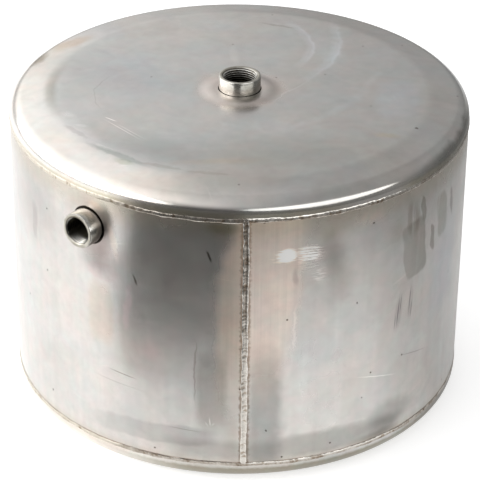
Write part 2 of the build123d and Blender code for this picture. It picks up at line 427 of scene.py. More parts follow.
def makeLongBead(material):
    # the section goes up the front and shrinks to a point inside each girth bead; its upper half is
    # hollow and sooty, its lower half full and pale
    look = longLook
    low, high = seamLow + look["inset"], seamHigh - look["inset"]
    along = np.arange(0, high - low, beadGrid["step"])
    upper = np.clip((low + along - look["upperFrom"]) / look["upperOver"], 0, 1)[:, None]
    place, rise, across, lump = beadSection(along, beadForms["long"], look["seed"], upper)
    ends = np.clip(np.minimum(along, along[-1] - along) / look["taper"], 0, 1)[:, None]
    ends = np.sqrt(ends * (2 - ends))
    angle = place * ends / tankRadius
    level = (low + along)[:, None] + 0 * place
    points = roundTank(angle, tankRadius + shellSwell(angle, level) + rise * ends, level)
    faces = gridFaces(*place.shape, wrapColumns=True)[:, ::-1]
    soot = (look["soot"] + look["upperSoot"] * upper) * eased(np.abs(across), *look["sootEdge"])
    piece = pieceFromGrids("longSeamBead", [(points, faces)], beadGrid["sharpAngle"],
                           across=across, lump=lump, soot=soot)
    dress(piece, "long_seam_weld", material)


# Half sockets: a turned ring with a real pipe thread in its bore

socketForm = {
    "around": 144, "perPitch": 12, "sharpAngle": 40.0,
    "pitch": 25.4 * mm / 14, "depth": 1.162 * mm,     # fourteen turns to the inch
    "leadIn": 1.1 * mm, "face": 0.25 * mm,
    "edge": 0.7 * mm, "edgeBow": 0.3,                 # rounded outer edge of the mouth
    "faceDepth": (0.5 * mm, 0.1 * mm), "faceEdge": (0.35, 0.9),
    "litDepth": (10 * mm, 6 * mm), "soilDepth": (0, 1 * mm),
}
# depths between which the bore turns dark with painted shade; then the heading round the axis and its
# reach of the darker side, and of the lit part of the bore, where light falls in and the painted shade is
# left off
socketLooks = {
    "topHalfSocket": {
        "node": "top_socket", "port": "top_port", "up": (0, -1, 0), "radius": topSocketRadius,
        "gloom": (0.3 * mm, 10 * mm), "soiled": (0.75, 1.15), "lit": (1.5, 0.8),
    },
    "sideHalfSocket": {
        "node": "side_socket", "port": "side_port", "up": (0, 0, 1), "radius": sideSocketRadius,
        "gloom": (-0.3 * mm, 0.9 * mm), "soiled": (4.5, 1.1), "lit": (3.5, 0.7),
    },
}


def makeSocket(name, look, material):
    # the ring's profile turned about its axis; the bore's radius is the larger of a helical thread and
    # the lead-in cones, and along is measured back from the mouth
    form = socketForm
    node, outerRadius = look["node"], look["radius"]
    bore = ports[look["port"]]["dims"]["r_mm"] * mm
    axis, up = np.array(Vector(ports[look["port"]]["axis"])), np.array(look["up"])
    solid = frame["nodes"][node].data
    corners = np.empty(len(solid.vertices) * 3)
    solid.vertices.foreach_get("co", corners)
    reach = corners.reshape(-1, 3) @ axis
    length = np.ptp(reach)
    centre = np.array((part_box(node)[0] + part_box(node)[1]) / 2)
    mouth = centre + (reach.max() - centre @ axis) * axis
    angles = np.linspace(0, turn, form["around"], endpoint=False)[:, None]
    along = np.linspace(0, length, int(length / form["pitch"] * form["perPitch"]))[None]
    flank = np.abs(2 * ((along / form["pitch"] + angles / turn) % 1) - 1)
    thread = bore + form["depth"] * flank * flank * (3 - 2 * flank)
    mouthward = np.minimum(along, length - along)
    full = form["depth"] + form["face"]
    boreRadius = np.maximum(thread, bore + full - mouthward * full / form["leadIn"])
    edge = form["edge"]
    bow = form["edgeBow"] * edge
    outline = np.array([
        [outerRadius - edge, 0], [outerRadius - bow, bow], [outerRadius, edge],
        [outerRadius, length / 2], [outerRadius, length],
    ])
    shape = (form["around"], len(outline))
    radius = np.concatenate([boreRadius[:, ::-1], np.broadcast_to(outline[:, 0], shape)], 1)
    inward = np.broadcast_to(along[:, ::-1], boreRadius.shape)
    depth = np.concatenate([inward, np.broadcast_to(outline[:, 1], shape)], 1)
    spoke = np.cos(angles)[..., None] * up + np.sin(angles)[..., None] * np.cross(axis, up)
    points = mouth - depth[..., None] * axis + radius[..., None] * spoke
    faces = gridFaces(*radius.shape, wrapRows=True, wrapColumns=True)[:, ::-1]

    def turnedTo(heading, width):
        # bell round the axis about a heading
        return bell((angles - heading + math.pi) % turn - math.pi, width)

    # painted shade in the bore: dark from a depth on, left off on the lit side near the mouth, where light
    # falls in
    clean = turnedTo(*look["lit"]) * eased(inward, *form["litDepth"])
    inBore = np.concatenate([eased(inward, *look["gloom"]) * (1 - clean), np.zeros(shape)], 1)
    groove = np.concatenate([flank[:, ::-1], np.zeros(shape)], 1)
    faceEdge = [outerRadius - share * edge for share in form["faceEdge"]]
    face = eased(depth, *form["faceDepth"]) * eased(radius, *faceEdge)
    # one side darker: on the side socket a painted shade on its lower right, on the top socket darker on
    # one side
    soil = turnedTo(*look["soiled"]) * eased(depth, *form["soilDepth"])
    piece = pieceFromGrids(name, [(points, faces)], form["sharpAngle"], inBore=inBore, groove=groove,
                           depth=depth, spin=angles + 0 * depth, soil=soil, face=face)
    dress(piece, node, material)


# Finishes: a wire carries one output of a node tree, so that masks read as arithmetic

class Wire:
    def __init__(self, tree, socket):
        self.tree = tree
        self.socket = socket

    def calc(self, operation, *others):
        node = addNode(self.tree, "Math", dict(enumerate((self, *others))), operation=operation)
        return Wire(self.tree, node.outputs[0])

    def __add__(self, other):
        return self.calc("ADD", other)

    def __sub__(self, other):
        return self.calc("SUBTRACT", other)

    def __mul__(self, other):
        return self.calc("MULTIPLY", other)

    def __truediv__(self, other):
        return self.calc("DIVIDE", other)

    def __abs__(self):
        return self.calc("ABSOLUTE")

    def flip(self):
        return self * -1.0 + 1.0

    def ramp(self, low, high):
        # 0 at low and 1 at high, eased between them; low may be the larger
        ends = {"Value": self, "From Min": low, "From Max": high}
        node = addNode(self.tree, "MapRange", ends, interpolation_type="SMOOTHSTEP")
        return Wire(self.tree, node.outputs["Result"])


def plug(tree, target, value):
    if isinstance(value, Wire):
        tree.links.new(value.socket, target)
    elif hasattr(value, "__len__") and len(value) < len(target.default_value):
        target.default_value = (*value, 1)
    else:
        target.default_value = value


def addNode(tree, kind, inputs=None, **settings):
    node = tree.nodes.new("ShaderNode" + kind)
    for setting, value in settings.items():
        setattr(node, setting, value)
    for label, value in (inputs or {}).items():
        plug(tree, node.inputs[label], value)
    return node


def vectorCalc(operation, first, *others):
    node = addNode(first.tree, "VectorMath", dict(enumerate((first, *others))), operation=operation)
    return Wire(first.tree, node.outputs[0])


def parts(vector):
    node = addNode(vector.tree, "SeparateXYZ", {"Vector": vector})
    return [Wire(vector.tree, output) for output in node.outputs]


def join(x, y, z=0.0):
    return Wire(x.tree, addNode(x.tree, "CombineXYZ", {"X": x, "Y": y, "Z": z}).outputs[0])


def noise(vector, scale, detail=2.0, roughness=0.5, distortion=0.0, output="Fac"):
    inputs = {"Vector": vector, "Scale": scale, "Detail": detail, "Roughness": roughness}
    inputs["Distortion"] = distortion
    return Wire(vector.tree, addNode(vector.tree, "TexNoise", inputs).outputs[output])


def stretched(vector, scale, shift=(0, 0, 0)):
    return vectorCalc("MULTIPLY_ADD", vector, scale, shift)


def blend(factor, low, high, mode="MIX"):
    tree = (factor if isinstance(factor, Wire) else low).tree
    node = addNode(tree, "Mix", data_type="RGBA", blend_type=mode)
    for index, value in ((0, factor), (6, low), (7, high)):   # places of the colour sockets
        plug(tree, node.inputs[index], value)
    return Wire(tree, node.outputs[2])


def tinted(colour, mask, tint):
    # the colour, multiplied by a tint where the mask is 1
    return blend(mask, colour, tint, "MULTIPLY")


def scaled(colour, factor):
    return vectorCalc("SCALE", colour, (0, 0, 0), (0, 0, 0), factor)


def wobbled(flat, scale, reach):
    # the place, pushed about by noise
    push = noise(flat, scale, 3.0, 0.6, output="Color")
    push = vectorCalc("SUBTRACT", push, (0.5, 0.5, 0.5))
    return vectorCalc("MULTIPLY_ADD", push, (reach, reach, 0), flat)


def trait(tree, name):
    return Wire(tree, addNode(tree, "Attribute", attribute_name=name).outputs["Fac"])


def newGroup(name, inputs, outputs):
    tree = bpy.data.node_groups.new(name, "ShaderNodeTree")
    for way, sockets in (("INPUT", inputs), ("OUTPUT", outputs)):
        for label, kind in sockets.items():
            tree.interface.new_socket(label, in_out=way, socket_type="NodeSocket" + kind)
    entry = tree.nodes.new("NodeGroupInput")
    leave = tree.nodes.new("NodeGroupOutput")
    return tree, {label: Wire(tree, entry.outputs[label]) for label in inputs}, leave


def useGroup(tree, group, **values):
    node = addNode(tree, "Group", node_tree=group)
    for label, value in values.items():
        plug(tree, node.inputs[label], value)
    return {output.name: Wire(tree, output) for output in node.outputs}


def newFinish(name, **sockets):
    # a metal whose plain values are set on the shader itself
    material = bpy.data.materials.new(name)
    material.use_nodes = True
    tree = material.node_tree
    shader = tree.nodes["Principled BSDF"]
    shader.inputs["Metallic"].default_value = 1.0
    for label, value in sockets.items():
        plug(tree, shader.inputs[label], value)
    position = Wire(tree, addNode(tree, "TexCoord").outputs["Object"])
    return material, tree, shader, position


def finishWith(shader, colour, rough, height, strength, distance):
    # the last links of a finish: its colour, its gloss and its relief
    tree = colour.tree
    bump = addNode(tree, "Bump", {"Height": height, "Strength": strength, "Distance": distance})
    ends = {"Base Color": colour, "Roughness": rough, "Normal": Wire(tree, bump.outputs["Normal"])}
    for label, wire in ends.items():
        plug(tree, shader.inputs[label], wire)


def makeStainGroup():
    # 1 inside a turned oval of given half sizes, easing to 0 at its edge; a larger Corner squares it,
    # and Lean fades it towards its right (1) or its left (-1)
    inputs = {
        "Flat": "Vector", "Centre": "Vector", "Size": "Vector",
        "Turn": "Float", "Soft": "Float", "Corner": "Float", "Lean": "Float",
    }
    tree, wire, leave = newGroup("stain", inputs, {"Mask": "Float"})
    spin = {"Vector": wire["Flat"], "Center": wire["Centre"], "Angle": wire["Turn"]}
    rotate = addNode(tree, "VectorRotate", spin, rotation_type="Z_AXIS", invert=True)
    turned = Wire(tree, rotate.outputs[0])
    share = vectorCalc("DIVIDE", vectorCalc("SUBTRACT", turned, wire["Centre"]), wire["Size"])
    across, along, _ = parts(share)
    power = wire["Corner"]
    reach = abs(across).calc("POWER", power) + abs(along).calc("POWER", power)
    reach = reach.calc("POWER", power.calc("POWER", -1.0))
    fade = (wire["Lean"] * across * 0.5 + 0.5) * abs(wire["Lean"])
    plug(tree, leave.inputs["Mask"], reach.ramp(1.0, wire["Soft"].flip()) * fade.flip())
    return tree


def makeWipeGroup():
    # stroke along an arc: 1 on the circle of a radius, easing to 0 a width away, within half a sweep
    # of its middle heading
    inputs = {
        "Flat": "Vector", "Centre": "Vector",
        "Radius": "Float", "Width": "Float", "Middle": "Float", "Half": "Float",
    }
    tree, wire, leave = newGroup("wipe", inputs, {"Mask": "Float"})
    across, along, _ = parts(vectorCalc("SUBTRACT", wire["Flat"], wire["Centre"]))
    away = (across * across + along * along).calc("SQRT")
    sine, cosine = wire["Middle"].calc("SINE"), wire["Middle"].calc("COSINE")
    ahead = across * cosine + along * sine
    beside = along * cosine - across * sine
    sweep = abs(beside.calc("ARCTAN2", ahead)) - wire["Half"]
    stroke = (abs(away - wire["Radius"]) / wire["Width"]).ramp(1.0, 0.1)
    plug(tree, leave.inputs["Mask"], stroke * sweep.ramp(0.2, -0.2))  # ends ease over 0.4 rad
    return tree


# layers of noise: shift of the pattern, scale in clouds, detail, roughness, distortion
wornLook = {
    "shades": (
        {"shift": (0, 0), "grow": 1.0, "noise": (4.0, 0.6, 0.5), "share": 0.26},
        {"shift": (3.1, 1.7), "grow": 3.0, "noise": (3.0, 0.55, 0.8), "share": 0.20},
        {"shift": (6.7, 2.9), "grow": 9.0, "noise": (2.0, 0.6, 0.0), "share": 0.12},
    ),
    "warmth": {"shift": (7.3, 4.1), "grow": 1.3, "noise": (3.0, 0.6, 0.4)},
    "tinge": {"shift": (2.3, 8.8), "grow": 4.5, "noise": (2.0, 0.5, 0.3)},
    "haze": {"shift": (1.3, 9.2), "grow": 2.0, "noise": (3.0, 0.6, 0.3)},
    "drift": (0.3, 0.7),                               # noise levels where a tone begins and is full
    "scratches": (
        {"heading": 0.16, "reach": 16, "width": 620, "cut": 0.70, "shift": 2.0},
        {"heading": -0.30, "reach": 22, "width": 760, "cut": 0.71, "shift": 5.0},
        {"heading": 1.35, "reach": 18, "width": 700, "cut": 0.72, "shift": 8.0},
    ),
    "scratchEdge": 0.05, "gaps": 17.0, "gapEdge": (0.52, 0.66),
    "specks": 30.0, "speckPick": (0.84, 0.86), "speckEdge": (0.030, 0.014),
    "grain": (900.0, 2.0, 0.6),
}


def makeWornGroup():
    # handled sheet steel: clouds, drifting warmth and tinge, broken scratches in three directions, specks
    look = wornLook
    inputs = {"Flat": "Vector", "Cloud": "Float"}
    outputs = ("Shade", "Warmth", "Tinge", "Haze", "Scratch", "Speck", "Grain")
    tree, wire, leave = newGroup("wornSheet", inputs, {label: "Float" for label in outputs})
    flat = wire["Flat"]
    scale = wire["Cloud"].calc("POWER", -1.0)

    def drifted(x, y):
        return stretched(flat, (1, 1, 1), (x, y, 0))

    def layer(part):
        return noise(drifted(*part["shift"]), scale * part["grow"], *part["noise"])

    shade = None
    for part in look["shades"]:
        tone = (layer(part) - 0.5) * part["share"]
        shade = tone if shade is None else shade + tone
    lines = None
    for cut in look["scratches"]:
        spin = {"Vector": flat, "Angle": cut["heading"]}
        turned = Wire(tree, addNode(tree, "VectorRotate", spin, rotation_type="Z_AXIS").outputs[0])
        shift = (cut["shift"], cut["shift"], 0)
        line = noise(stretched(turned, (cut["reach"], cut["width"], 0), shift), 1.0, 1.0)
        line = line.ramp(cut["cut"], cut["cut"] + look["scratchEdge"])
        line = line * noise(drifted(cut["shift"], 0), look["gaps"], 1.0).ramp(*look["gapEdge"])
        lines = line if lines is None else lines + line
    dots = addNode(tree, "TexVoronoi", {"Vector": flat, "Scale": look["specks"]}, voronoi_dimensions="2D")
    pick = parts(Wire(tree, dots.outputs["Color"]))[0].ramp(*look["speckPick"])
    made = {
        "Shade": shade + 1.0,
        "Warmth": layer(look["warmth"]).ramp(*look["drift"]),
        "Tinge": layer(look["tinge"]).ramp(*look["drift"]),
        "Haze": layer(look["haze"]) - 0.5,
        "Scratch": lines,
        "Speck": Wire(tree, dots.outputs["Distance"]).ramp(*look["speckEdge"]) * pick,
        "Grain": noise(flat, *look["grain"]),
    }
    for label in outputs:
        plug(tree, leave.inputs[label], made[label])
    return tree


def mark(at, size, tint, **more):
    # one stain, painted shade or painted highlight: its centre and half sizes in mm, and the tint that
    # multiplies the colour under it
    return {"at": at, "size": size, "tint": tint, **more}


def arcMark(centre, radius, width, headings, tint, edge="ragged"):
    # one arc of tint, used for wipes and for painted highlights and shade
    stroke = {"centre": centre, "radius": radius, "width": width, "headings": headings}
    return {**stroke, "tint": tint, "edge": edge}


def paintStains(group, edges, colour, rough, stains):
    # each patch (a stain, a painted shade or a painted highlight) tints the colour under it and may change
    # its gloss; edges holds the place for each kind of edge, pushed about by noise
    for stain in stains:
        mask = useGroup(
            colour.tree, group, Flat=edges[stain.get("edge", "ragged")],
            Centre=(stain["at"][0] * mm, stain["at"][1] * mm, 0),
            Size=(stain["size"][0] * mm, stain["size"][1] * mm, 1.0),
            Turn=math.radians(stain.get("turn", 0)), Soft=stain.get("soft", 0.5),
            Corner=stain.get("corner", 2.0), Lean=stain.get("lean", 0.0),
        )["Mask"]
        if "broken" in stain:
            acrossScale, alongScale, low, high = stain["broken"]
            streaks = noise(stretched(edges["plain"], (acrossScale, alongScale, 0)), 1.0, 2.0)
            mask = mask * streaks.ramp(low, high)
        colour = tinted(colour, mask, stain["tint"])
        if "rough" in stain:
            rough = mask * stain["rough"] + rough
    return colour, rough


def wornColour(finish, marks):
    # the bare sheet: warm and cool steel, a pink or green tinge, light and dark clouds
    colour = blend(marks["Warmth"], finish["cool"], finish["warm"])
    tinge = blend(marks["Tinge"], finish["pink"], finish["green"])
    return scaled(tinted(colour, 1.0, tinge), marks["Shade"])


# Shell finish: rolled sheet, heat tint beside the welds, the stains and rubs of use, and painted shade and
# highlights

shellFinish = {
    "cool": (0.590, 0.585, 0.572), "warm": (0.622, 0.588, 0.558), "cloud": 60 * mm,
    "pink": (1.025, 0.988, 0.985), "green": (0.985, 1.008, 0.990),
    "leftTint": (1.12, 1.00, 0.90), "rightTint": (1.30, 1.17, 1.09), "burntTint": (0.58, 0.52, 0.47),
    # the lip tint is near black: a painted shadow on the lip of the side socket's hole
    "oliveTint": (0.88, 0.84, 0.76), "socketTint": (0.98, 0.93, 0.92), "lipTint": (0.10, 0.085, 0.075),
    "scratchTint": (1.16, 1.15, 1.14), "scratchShare": 0.8, "speckTint": (0.22, 0.19, 0.17),
    "brightest": (0.95, 0.94, 0.92),
    "rough": 0.22, "hazeRough": 0.14, "leftRough": 0.18, "rightRough": 0.12, "burntRough": 0.08,
    "highRough": 0.05, "socketRough": 0.16,
    "ragged": (70.0, 7 * mm), "frayed": (260.0, 5 * mm), "brushed": 16 * mm,  # scale and reach of edges
    "brushRows": (55, 1500, 0), "brushFray": 0.3,
    "streaks": (120, 5, 0), "streakShare": 0.16, "brushing": (210, 5, 0), "brushShare": 0.38,
    "soot": (260.0, 3.0, 0.6),
    "grainRise": 0.25, "scratchRise": -0.5, "streakRise": 0.4, "relief": (0.10, 0.2 * mm),
}
# heat tint: a band on each side of the long seam, the left one narrow at its top, the right at its foot
heatTint = {
    "leftLevels": (0.222, 0.170), "leftWidth": (13 * mm, 8 * mm), "leftEdge": (-7 * mm, 8 * mm),
    "leftFoot": (0.03, 0.13),
    "rightLevels": (0.05, 0.20), "rightWidth": (18 * mm, 24 * mm), "rightEdge": (9 * mm, -9 * mm),
    "rightFoot": (0.04, 0.14),
    "seamSide": 1 * mm, "drift": 12 * mm,
    "burnt": (4.4 * mm, 2.6 * mm), "burntDrift": 5 * mm,
    "high": (26 * mm, 2 * mm), "highDrift": 5 * mm,    # under the top girth seam
    "low": (8 * mm, 2 * mm), "lowDrift": 2 * mm, "lowShare": 0.5,
    "toe": (2.6 * mm, 1.9 * mm), "toeDrift": 1 * mm, "toeShare": 0.8,
    "socket": (16 * mm, 3 * mm), "socketDrift": 4 * mm,
    # the lip entries set a painted shadow on the lip of the side socket's hole
    "lip": (0.7 * mm, 0.3 * mm), "lipDrift": 0.5 * mm,
}
# centre (arc from the long seam, level) and half sizes in mm, turn in degrees
shellStains = [
    # shades and pale flashes left of the seam; round the side socket some are painted shade and painted
    # highlights
    # painted shade round the side socket: dark under it and beside it
    mark((-113, 174), (25, 22), (0.52, 0.50, 0.50), soft=0.95),
    mark((-107, 194), (12, 24), (0.72, 0.69, 0.68), soft=0.9),
    mark((-112, 128), (14, 31), (0.97, 0.92, 0.87), corner=4, soft=0.4, rough=0.04),
    mark((-83, 118), (15, 46), (0.86, 0.84, 0.83), turn=4, corner=4, lean=1),
    mark((-72, 108), (18, 14), (1.05, 0.96, 0.97), turn=20, soft=0.9),
    mark((-110, 163), (19, 9), (1.00, 0.93, 0.94), turn=6, soft=0.35),
    mark((-88, 140), (4, 24), (1.16, 1.07, 1.10), turn=-6),
    mark((-24, 79), (14, 41), (0.72, 0.71, 0.69), corner=4, soft=0.45, lean=0.3),
    mark((-36, 97), (0.8, 34), (0.76, 0.73, 0.72)),
    mark((-188, 190), (62, 48), (0.79, 0.78, 0.78), soft=0.9),
    mark((-72, 70), (42, 26), (1.12, 1.12, 1.12), soft=0.9),
    mark((-9, 46), (9, 30), (0.85, 0.84, 0.82), soft=0.9),
    mark((-187, 174), (5, 18), (0.84, 0.82, 0.83), corner=3),
    # painted highlights round the side socket: a pale patch above it and the light ridge beside it
    mark((-115, 215), (10, 4.5), (1.18, 1.13, 1.09), turn=-10, soft=0.8, rough=0.12),
    mark((-100, 192), (4, 22), (1.25, 1.19, 1.14), turn=17, soft=0.7, rough=0.08),
    mark((-17, 216), (17, 8), (0.70, 0.69, 0.60), soft=0.8),
    # buffed patch right of the seam, its lightness in part a painted highlight, and shades round it
    mark((29.5, 193), (8, 6.4), (1.70, 1.70, 1.70), soft=0.35, rough=0.25, edge="brushed"),
    mark((27, 190), (10, 5), (1.30, 1.28, 1.25), edge="brushed", broken=(60, 800, 0.46, 0.56)),
    mark((46, 193), (10.5, 7.5), (1.70, 1.70, 1.70), corner=3, rough=0.2, edge="brushed",
         broken=(70, 1100, 0.44, 0.52)),
    mark((46, 188), (11, 12), (1.25, 1.25, 1.24), soft=0.6, rough=0.12, edge="brushed",
         broken=(70, 1000, 0.44, 0.56)),
    mark((54, 174), (7, 8), (1.30, 1.30, 1.30), soft=0.6, edge="brushed", broken=(90, 1000, 0.48, 0.58)),
    mark((36, 131), (1.5, 26), (1.22, 1.21, 1.20), turn=-2, soft=0.7, rough=0.1),
    mark((36, 174), (3.2, 10), (0.82, 0.80, 0.81), turn=8, soft=0.7),
    mark((64, 188), (15, 27), (0.66, 0.66, 0.65), turn=16, soft=1),
    mark((70, 163), (18, 28), (0.86, 0.86, 0.85), soft=0.9),
    mark((62, 207), (18, 10), (0.88, 0.86, 0.82), turn=10, soft=0.9),
    mark((97, 211), (22, 10), (1.13, 1.05, 1.02), turn=4, soft=1, rough=0.06, broken=(160, 20, 0.25, 0.6)),
    # smears high on the right
    mark((140, 170), (13.5, 25), (0.60, 0.59, 0.56), turn=9, corner=6, soft=0.13, lean=-0.6,
         broken=(150, 8, 0.1, 0.42)),
    mark((137, 196), (11, 20), (0.74, 0.72, 0.69), turn=14, soft=0.6, broken=(230, 10, 0.34, 0.56)),
    mark((121, 192), (13, 18), (0.86, 0.85, 0.82), soft=0.9),
    mark((162, 170), (3, 13), (0.64, 0.62, 0.60), turn=9, soft=0.25),
    mark((148, 200), (3, 13), (0.68, 0.66, 0.63), turn=8, soft=0.3),
    mark((185, 135), (32, 64), (0.89, 0.92, 0.98), soft=0.8),
    mark((176, 184), (8.5, 20), (0.76, 0.77, 0.73), turn=8, corner=4, soft=0.18,
         broken=(160, 12, 0.2, 0.5)),
    mark((192, 186), (3.4, 16), (0.62, 0.61, 0.61), turn=14),
    # drag marks on the right
    mark((121.5, 114), (0.5, 9), (0.58, 0.57, 0.59), turn=-4, soft=0.7, edge="plain"),
    mark((124.5, 122), (0.8, 16), (0.50, 0.49, 0.51), turn=-5, soft=0.7, edge="plain"),
    mark((127, 128), (0.6, 11), (0.56, 0.55, 0.57), turn=-5, soft=0.7, edge="plain"),
    mark((125, 121), (5, 19), (0.84, 0.83, 0.84), turn=-5, soft=0.6, edge="plain"),
    mark((137, 128), (0.7, 16), (0.52, 0.51, 0.53), turn=-4, soft=0.7, edge="plain"),
    mark((139, 119), (0.6, 10), (0.58, 0.57, 0.59), turn=-4, soft=0.7, edge="plain"),
    mark((138, 125), (3.5, 19), (0.88, 0.87, 0.88), turn=-4, soft=0.6, edge="plain"),
    # broad shades along the foot
    mark((15, 58), (18, 78), (0.60, 0.61, 0.61), corner=3, soft=0.6),
    mark((-22, 28), (54, 13), (0.72, 0.72, 0.71), corner=3, soft=0.7),
    mark((57, 80), (22, 52), (1.03, 1.05, 1.06), corner=4, soft=0.35, rough=0.05),
    mark((107, 20), (30, 6), (0.62, 0.62, 0.61), soft=0.8),
    mark((122, 36), (32, 16), (0.74, 0.74, 0.73), turn=-6, soft=0.7),
    mark((114, 27), (30, 13), (0.56, 0.56, 0.55), turn=-6, soft=0.9),
    mark((60, 29), (54, 13), (0.70, 0.71, 0.70), corner=3),
    mark((-72, 37), (60, 10), (0.70, 0.71, 0.72), turn=3, corner=4, soft=0.35, lean=-0.8),
    # scratches and tool marks
    mark((-93.5, 81), (15, 0.5), (0.55, 0.50, 0.48), turn=-6, soft=0.6, edge="plain"),
    mark((-98, 72), (30, 0.35), (0.72, 0.70, 0.68), turn=-3, soft=0.8, edge="plain"),
    mark((-44, 44), (17, 0.5), (0.70, 0.68, 0.66), turn=-3, soft=0.8, edge="plain"),
    mark((106, 73), (26, 0.5), (1.35, 1.35, 1.35), turn=-16, soft=0.7, edge="plain"),
    mark((145, 78), (24, 0.6), (0.70, 0.70, 0.70), turn=-14, soft=0.8, edge="plain"),
    mark((-25, 53), (0.6, 4.6), (1.55, 1.55, 1.55), turn=6, soft=0.7, edge="plain"),
    mark((-27.5, 51), (0.4, 2.6), (1.40, 1.40, 1.40), turn=32, soft=0.7, edge="plain"),
    mark((-22.6, 51), (0.4, 2.2), (1.40, 1.40, 1.40), turn=-38, soft=0.7, edge="plain"),
    mark((-26, 192.5), (1.5, 6.5), (0.28, 0.26, 0.24), turn=26, soft=0.6),
    mark((-82, 164), (1.2, 6), (0.34, 0.31, 0.29), turn=24, soft=0.6),
    # specks
    mark((13, 220), (1.4, 1), (0.25, 0.22, 0.20)),
    mark((17, 46), (1.2, 0.9), (0.25, 0.22, 0.20)),
    mark((85, 143), (0.9, 1.6), (0.30, 0.27, 0.27)),
    mark((92, 58), (1, 1), (0.30, 0.27, 0.27)),
    mark((-168, 34), (0.9, 1.4), (0.30, 0.27, 0.27)),
]


def makeSheetFinish(worn, stain):
    finish, heat = shellFinish, heatTint
    material, tree, shader, position = newFinish("pickledSheet")
    x, y, z = parts(position)
    arc = x.calc("ARCTAN2", y * -1.0) * tankRadius
    flat = join(arc, z)
    edges = {"plain": flat}
    for kind in ("ragged", "frayed"):
        edges[kind] = wobbled(flat, *finish[kind])
    rows = noise(stretched(flat, finish["brushRows"]), 1.0, 2.0) - 0.5
    frayed = parts(edges["frayed"])[1] - z
    edges["brushed"] = join(arc + rows * finish["brushed"], z + frayed * finish["brushFray"])
    marks = useGroup(tree, worn, Flat=flat, Cloud=finish["cloud"])
    streak = noise(stretched(flat, finish["streaks"]), 1.0, 3.0, 0.55)
    colour = wornColour(finish, marks)
    colour = scaled(colour, (streak - 0.5) * finish["streakShare"] + 1.0)

    # bands of heat tint along the long seam, and the burnt line at its toes
    soot = noise(flat, *finish["soot"]) - 0.5
    unevenArc = parts(edges["ragged"])[0] + (streak - 0.5) * heat["drift"]
    wider, narrow = heat["leftWidth"]
    leftBand = (unevenArc + z.ramp(*heat["leftLevels"]) * wider + narrow).ramp(*heat["leftEdge"])
    leftBand = leftBand * arc.ramp(heat["seamSide"], -heat["seamSide"]) * z.ramp(*heat["leftFoot"])
    wider, narrow = heat["rightWidth"]
    rightBand = (unevenArc - z.ramp(*heat["rightLevels"]) * wider - narrow).ramp(*heat["rightEdge"])
    rightBand = rightBand * arc.ramp(-heat["seamSide"], heat["seamSide"]) * z.ramp(*heat["rightFoot"])
    brushed = noise(stretched(flat, finish["brushing"]), 1.0, 3.0, 0.6) - 0.5
    colour = tinted(colour, leftBand, finish["leftTint"])
    colour = tinted(colour, rightBand, finish["rightTint"])
    colour = scaled(colour, (leftBand + rightBand) * brushed * finish["brushShare"] + 1.0)
    burnt = (abs(arc) + soot * heat["burntDrift"]).ramp(*heat["burnt"])
    colour = tinted(colour, burnt, finish["burntTint"])

    # olive shade beside the girth seams, and a burnt line at the toe of the lower one
    underHigh = (z * -1.0 + seamHigh + soot * heat["highDrift"]).ramp(*heat["high"])
    overLow = (z - seamLow + soot * heat["lowDrift"]).ramp(*heat["low"])
    colour = tinted(colour, underHigh + overLow * heat["lowShare"], finish["oliveTint"])
    toeLine = (z - seamLow + soot * heat["toeDrift"]).ramp(*heat["toe"])
    colour = tinted(colour, toeLine * heat["toeShare"], finish["burntTint"])

    # heat tint round the side socket, and a painted shadow on the lip of its hole, which widens the dark
    # gap round the socket
    fromSocket = join(arc - sideAngle * tankRadius, z - sideLevel)
    fromSocket = addNode(tree, "VectorMath", {0: fromSocket}, operation="LENGTH")
    fromSocket = Wire(tree, fromSocket.outputs["Value"]) - sideSocketRadius
    nearSocket = (fromSocket + soot * heat["socketDrift"]).ramp(*heat["socket"])
    colour = tinted(colour, nearSocket, finish["socketTint"])
    lip = (fromSocket - shellForm["holeGap"] + soot * heat["lipDrift"]).ramp(*heat["lip"])
    colour = tinted(colour, lip, finish["lipTint"])

    rough = marks["Haze"] * finish["hazeRough"] + leftBand * finish["leftRough"]
    rough = rough + rightBand * finish["rightRough"] + burnt * finish["burntRough"]
    rough = rough + underHigh * finish["highRough"] + nearSocket * finish["socketRough"] + finish["rough"]
    colour, rough = paintStains(stain, edges, colour, rough, shellStains)
    colour = tinted(colour, marks["Scratch"] * finish["scratchShare"], finish["scratchTint"])
    colour = tinted(colour, marks["Speck"], finish["speckTint"])
    colour = vectorCalc("MINIMUM", colour, finish["brightest"])
    height = marks["Grain"] * finish["grainRise"] + marks["Scratch"] * finish["scratchRise"]
    height = height + streak * finish["streakRise"]
    finishWith(shader, colour, rough, height, *finish["relief"])
    return material


# Head finish: pressed sheet with clouds, wiped arcs and a few rubs, burnished on the knuckle; a painted
# highlight on the left shoulder, a painted dark reflection on the right knuckle and painted shade low on
# the bottom head

